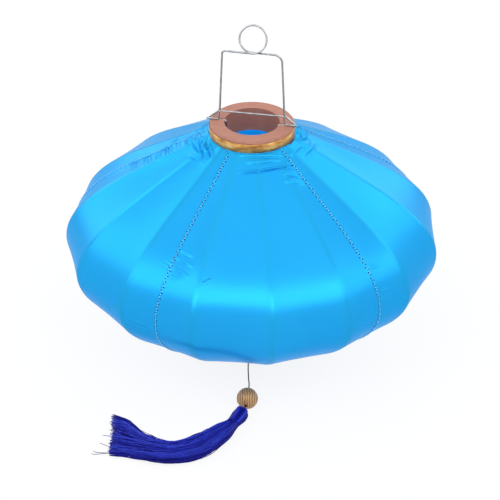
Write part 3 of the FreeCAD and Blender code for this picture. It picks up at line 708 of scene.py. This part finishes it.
sole, beside = TOP_FACE + 0.9, -2.25
half_spreader = [(SHIN, beside, SHIN_TOP), (33.4, beside, sole), (FOOT, beside, sole)]
line = bent([(-x, y, z) for x, y, z in reversed(half_spreader)] + half_spreader, [1.6] * 4)
points, faces = tube(turned(line), SPREADER_WIRE * MM, 12)
cross_wire = mesh_object("spreader_cross_wire", points, faces, WIRE)
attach(cross_wire, "crown")
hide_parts("spreader_wire")

# ------------------------------------------------------------------ tassel

BEAD_AT = Vector((-4.75, -123.6, 10.8))
HEAD_LINE = [(-8.1, -137.5, 8.2), (-12.8, -148.6, 7.4), (-17.2, -156.2, 6.9), (-21.5, -162.0, 6.5)]
STRAND_RADIUS = 0.36
# the bundle along its way: the middle in plan, the width and the height
STRANDS = [
    ((-17.0, -155.9), 10.5, 10), ((-21.5, -163.0), 13, 12), ((-28, -173), 20, 14), ((-40, -187), 25.5, 15),
    ((-55.5, -201), 28.5, 15), ((-77, -208), 29.5, 14.5), ((-97, -202.5), 32, 13),
    ((-115, -192.5), 38, 10.5), ((-138, -178.5), 66, 8),
]

# the bead: a ball bored through along the last run of the thread's route
BALL, BORE, BEAD_SPOKES = 10.75, 1.6, 64
mouth = math.asin(BORE / BALL)
turning = mouth + (math.pi - 2 * mouth) * np.arange(41) / 40
profile = [(BORE, 9.0)] + [(BALL * math.sin(t), BALL * math.cos(t)) for t in turning] + [(BORE, -9.0)]
bead_turn = (Vector(THREAD_ROUTE[-1]) - Vector(THREAD_ROUTE[-2])).to_track_quat("Z", "Y").to_matrix()
points = []
for r, z in profile:
    for angle in np.arange(BEAD_SPOKES) * 2 * math.pi / BEAD_SPOKES:
        points.append((bead_turn @ Vector((r * math.cos(angle), r * math.sin(angle), z)) + BEAD_AT) * MM)
bead = mesh_object("turned_bead", points, ring_faces(len(profile), BEAD_SPOKES), BEAD_WOOD)
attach(bead, "base")
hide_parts("wooden_bead")

# one of the tassel's own strands, in the middle of the bundle, from the head's neck to the cut end
core_curve = bpy.data.curves.new("tassel_core_strand", "CURVE")
core_curve.dimensions = "3D"
core_curve.resolution_u = 16
core_spline = core_curve.splines.new("NURBS")
core_spline.points.add(len(STRANDS) - 1)
for point, ((x, y), _, height) in zip(core_spline.points, STRANDS):
    point.co = (x * MM, y * MM, height / 2 * MM, 1)
core_spline.order_u = 3
core_spline.use_endpoint_u = True
core_curve.materials.append(RAYON)
core = bpy.data.objects.new("tassel_core_strand", core_curve)
scene.collection.objects.link(core)
bpy.context.view_layer.update()
line_mesh = bpy.data.meshes.new_from_object(core.evaluated_get(bpy.context.evaluated_depsgraph_get()))
core_line = np.array([vertex.co for vertex in line_mesh.vertices]) / MM
bpy.data.meshes.remove(line_mesh)
core_curve.bevel_depth = STRAND_RADIUS * MM
core_curve.bevel_resolution = 2
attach(core, "base")


def strands_mesh(name, paths, radius, shades, sides=4):
    """Fine strands as one mesh, each with its own shade or with one for each of its points."""
    parts, values = [], []
    for path, shade in zip(paths, shades):
        taper = np.full(len(path), radius)
        taper[-1] *= 0.6
        parts.append(tube(path, taper, sides))
        values += list(np.repeat(np.broadcast_to(shade, len(path)), sides))
    item = mesh_object(name, *joined(parts), RAYON)
    attribute = item.data.attributes.new("strand", "FLOAT", "POINT")
    attribute.data.foreach_set("value", np.array(values, np.float32))
    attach(item, "base")
    return item


def share_of_length(points):
    """How far along its line each point lies, from 0 to 1."""
    steps = np.concatenate([[0], np.cumsum(np.linalg.norm(np.diff(points, axis=0), axis=1))])
    return steps / steps[-1]


CORE_LENGTH = 150
rng = np.random.default_rng(11)
core_share = share_of_length(core_line[:, :2])
knots = share_of_length(np.array([place for place, _, _ in STRANDS], float))
widths = np.array([w for _, w, _ in STRANDS])
heights = np.array([h for _, _, h in STRANDS])


def along_core(t):
    """The core strand's place in plan at shares of its length, carried straight on past its end."""
    x, y = (np.interp(t, core_share, core_line[:, k]) for k in (0, 1))
    onward = core_line[-1, :2] - core_line[-4, :2]
    onward /= np.linalg.norm(onward)
    past = np.maximum(t - 1, 0) * CORE_LENGTH
    return x + onward[0] * past, y + onward[1] * past


def strand_path(a, b, start, end, seed, stray=0.0):
    """A strand at a share a across the bundle and b up it; a stray one bows out of the bundle."""
    t = np.linspace(start, end, 26)
    x, y = along_core(t)
    dx, dy = np.gradient(x), np.gradient(y)
    pace = np.hypot(dx, dy)
    bow = stray * np.sin(math.pi * np.clip((t - start) / (end - start), 0, 1)) ** 2
    wave = 0.10 * waves(t, seed, (0.3, 0.9), 3) * np.clip(t * 4, 0, 1)
    reach = (np.clip(a + wave, -1.02, 1.02) + bow) * np.interp(t, knots, widths) / 2 * 0.92
    tall = np.interp(t, knots, heights)
    lift = np.clip(0.5 + 0.5 * b + 0.05 * waves(t, seed + 1000, (0.3, 0.8), 3), 0, 1)
    z = 0.5 + (tall - 1.0) * lift
    return np.stack([x + dy / pace * reach, y - dx / pace * reach, z], 1) * MM


# strands that leave the bundle: their shares across and up, start, end, and how far they bow out
STRAYS = [
    (0.98, 0.3, 0.55, 1.02, 0.16), (0.96, 0.1, 0.60, 0.99, 0.24), (0.98, 0.2, 0.16, 0.46, 0.30),
    (0.97, 0.0, 0.20, 0.50, 0.18), (-0.97, -0.4, 0.62, 1.02, 0.10), (-0.90, -0.6, 0.70, 1.03, 0.16),
    (0.20, 0.2, 0.60, 1.06, 0.05), (-0.10, 0.4, 0.62, 1.055, 0.08), (-0.55, 0.1, 0.66, 1.03, -0.06),
    (0.60, 0.5, 0.55, 1.045, 0.07), (-0.98, -0.5, 0.30, 0.62, -0.07), (0.35, -0.2, 0.7, 1.04, -0.08),
]
SKIRT_STRANDS, HEAD_STRANDS = 620, 128

paths, shades = [], []
for k in range(SKIRT_STRANDS):
    spin, spread = rng.uniform(0, 2 * math.pi), math.sqrt(rng.uniform(0.0, 1.0))
    a, b = math.sin(1.4 * spread * math.cos(spin)) / math.sin(1.4), spread * math.sin(spin)
    cut = 1.0 + 0.135 * max(a, 0) - 0.090 * max(-a, 0) - 0.035 * rng.uniform(0, 1) ** 2
    paths.append(strand_path(a, b, 0.0, cut, 500 + k))
    # each strand's tone: lighter and darker streaks across the bundle, a random part, and painted light that
    # makes the strands higher in the bundle lighter and the lower ones darker
    streaks_across = 0.16 * math.sin(9 * a + 2) + 0.10 * math.sin(23 * a + 5 * b)
    shades.append(float(np.clip(0.40 + 0.26 * b + streaks_across + 0.17 * rng.normal(), 0, 1)))
for k, (a, b, start, end, stray) in enumerate(STRAYS):
    paths.append(strand_path(a, b, start, end, 2500 + k, stray))
    shades.append(0.12 + 0.05 * (k % 4))
skirt = strands_mesh("tassel_strands", paths, STRAND_RADIUS * MM, shades)
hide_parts("tassel_skirt")

# the head: strands folded over the thread's knot and bound at the neck
head_line = np.array(HEAD_LINE)
head_share = share_of_length(head_line)
# shares of the head's length, and its radius at each
HEAD_SHAPE = ((0, 0.05, 0.11, 0.17, 0.25, 0.42, 0.61, 0.79, 0.91, 1),
              (1.7, 3.1, 4.7, 6.5, 7.0, 7.0, 6.3, 5.7, 5.2, 5.3))


def head_frame(t):
    """The middle of the head at a share of its length, with two directions square to its line."""
    before, middle, after = (np.array([np.interp(share, head_share, axis) for axis in head_line.T])
                             for share in (t - 0.05, t, t + 0.05))
    ahead = after - before
    side = np.cross(ahead, (0, 0, 1))
    side /= np.linalg.norm(side)
    up = np.cross(side, ahead)
    return middle, side, up / np.linalg.norm(up)


head_places = [(t, head_frame(t)) for t in np.linspace(0, 1, 23)]
paths, shades = [], []
for k in range(HEAD_STRANDS):
    angle = 2 * math.pi * k / HEAD_STRANDS + rng.uniform(-0.02, 0.02)
    line, tones = [], []
    base_tone = 0.42 + 0.16 * rng.normal()
    lobes = math.cos(5 * angle + 0.6)
    for t, (middle, side, up) in head_places:
        twisted = angle + 0.35 * t
        reach = np.interp(t, *HEAD_SHAPE) * (1 + 0.13 * lobes * math.sin(math.pi * t) ** 0.6)
        flat_under = 1 - 0.06 * max(0, -math.sin(twisted))
        line.append(middle + reach * (math.cos(twisted) * side + flat_under * math.sin(twisted) * up))
        # painted light and shade: the crests of the lobes are lighter and the valleys between them darker,
        # over each strand's own random tone
        tones.append(np.clip(base_tone + 0.34 * lobes * math.sin(math.pi * t), 0, 1))
    paths.append(np.array(line) * MM)
    shades.append(np.array(tones))
head = strands_mesh("tassel_head_strands", paths, STRAND_RADIUS * MM, shades)
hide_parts("tassel_head")

# six turns of one more thread round the head's neck
WRAP_STEPS, WRAP_TURN, WRAP_RADIUS = 240, 40, 5.75
wraps = []
for k in range(WRAP_STEPS + 1):
    turn_at = 2 * math.pi * k / WRAP_TURN
    middle, side, up = head_frame(0.88 + 0.13 * k / WRAP_STEPS)
    wraps.append((middle + WRAP_RADIUS * (math.cos(turn_at) * side + math.sin(turn_at) * up)) * MM)
binding = strands_mesh("tassel_binding", [np.array(wraps)], 0.34 * MM, [0.22])

# the thread's knot: two turns round the pin
KNOT_RADIUS, KNOT_STEPS, PIN_AXIS = 1.75, 32, Vector((0, 0, 16))
knot_parts = []
for offset in (-0.9, 0.9):
    ring = []
    for k in range(KNOT_STEPS + 1):
        angle = 2 * math.pi * k / KNOT_STEPS
        local = Vector((KNOT_RADIUS * math.cos(angle), offset, KNOT_RADIUS * math.sin(angle)))
        ring.append(tuple((FRAME_TURN @ local + PIN_AXIS) * MM))
    knot_parts.append(tube(ring, 0.55 * MM, 8))
knot = mesh_object("thread_knot", *joined(knot_parts), THREAD)
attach(knot, "base")

# ------------------------------------------------------------------ CAD pieces that show as they are

for node, material in (("top_hub", HUB_WOOD), ("bottom_hub", HUB_WOOD), ("top_rib_ring", RING),
                       ("bottom_rib_ring", RING), ("tassel_pin", BAMBOO)):
    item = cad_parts[node]
    item.data.materials.clear()
    item.data.materials.append(material)

# ------------------------------------------------------------------ floor, light


def seen_directly(tree, by_camera=1.0):
    """1 for the rays that metal or glass sends on, by_camera for the camera's own, and 0 for others."""
    rays = tree.nodes.new("ShaderNodeLightPath")
    share = tree.nodes.new("ShaderNodeMath")
    share.operation = "MULTIPLY"
    share.inputs[1].default_value = by_camera
    tree.links.new(rays.outputs["Is Camera Ray"], share.inputs[0])
    value = share.outputs[0]
    for kind in ("Is Glossy Ray", "Is Transmission Ray"):
        either = tree.nodes.new("ShaderNodeMath")
        either.operation = "MAXIMUM"
        tree.links.new(value, either.inputs[0])
        tree.links.new(rays.outputs[kind], either.inputs[1])
        value = either.outputs[0]
    return value


floor_material = bpy.data.materials.new("floor")
floor_material.use_nodes = True
tree = floor_material.node_tree
tree.nodes.clear()
output = tree.nodes.new("ShaderNodeOutputMaterial")
mix = tree.nodes.new("ShaderNodeMixShader")
plain = tree.nodes.new("ShaderNodeBsdfDiffuse")
plain.inputs["Color"].default_value = (0.92, 0.92, 0.92, 1)
glow = tree.nodes.new("ShaderNodeEmission")
tree.links.new(seen_directly(tree, 0.88), mix.inputs["Fac"])
tree.links.new(plain.outputs[0], mix.inputs[1])
tree.links.new(glow.outputs[0], mix.inputs[2])
tree.links.new(mix.outputs[0], output.inputs["Surface"])
corners = [(x * 6, y * 6, -0.0002) for x, y in ((-1, -1), (1, -1), (1, 1), (-1, 1))]
floor = mesh_object("floor", corners, [(0, 1, 2, 3)], floor_material)

world = bpy.data.worlds.new("studio")
scene.world = world
world.use_nodes = True
tree = world.node_tree
tree.nodes.clear()
output = tree.nodes.new("ShaderNodeOutputWorld")
mix = tree.nodes.new("ShaderNodeMixShader")
soft = tree.nodes.new("ShaderNodeBackground")
soft.inputs["Color"].default_value = (0.95, 0.97, 1, 1)
soft.inputs["Strength"].default_value = 0.26
white = tree.nodes.new("ShaderNodeBackground")
white.inputs["Color"].default_value = (1, 1, 1, 1)
white.inputs["Strength"].default_value = 1
tree.links.new(seen_directly(tree), mix.inputs["Fac"])
tree.links.new(soft.outputs[0], mix.inputs[1])
tree.links.new(white.outputs[0], mix.inputs[2])
tree.links.new(mix.outputs[0], output.inputs["Surface"])


def lamp(name, place, size, power):
    """A soft lamp that points at the middle of the shade."""
    light = bpy.data.lights.new(name, "AREA")
    light.shape = "RECTANGLE"
    light.size, light.size_y = size
    light.energy = power
    item = bpy.data.objects.new(name, light)
    scene.collection.objects.link(item)
    item.location = place
    item.rotation_mode = "QUATERNION"
    item.rotation_quaternion = (WAIST - Vector(place)).to_track_quat("-Z", "Y")


def round_waist(azimuth, elevation, distance):
    """A place round the shade; azimuth 0 is in front and 90 at the right."""
    turn, rise = math.radians(azimuth), math.radians(elevation)
    level = distance * math.cos(rise)
    return (level * math.sin(turn), -level * math.cos(turn), WAIST.z + distance * math.sin(rise))


# wide lamps in a ring, so that the satin has its band of light on every side, two broad ones and two low
# ones behind for the sides and rims, and a soft top
RING_LAMPS = [(-4, 48, 15), (48, 42, 12), (-56, 42, 12), (100, 30, 7.5), (-108, 30, 7.5), (150, 36, 6.5),
              (-156, 36, 6.5)]
for azimuth, elevation, power in RING_LAMPS:
    lamp(f"ring_{azimuth}", round_waist(azimuth, elevation, 2.1), (1.9, 0.75), power)
for azimuth in (128, -128):
    lamp(f"broad_{azimuth}", round_waist(azimuth, 37, 2.2), (1.9, 1.3), 2)
for azimuth in (142, -142):
    lamp(f"rim_{azimuth}", round_waist(azimuth, 10, 2.1), (1.2, 0.6), 5)
lamp("top", round_waist(0, 89, 2.0), (2.3, 2.3), 8.5)

scene.view_settings.view_transform = "Standard"
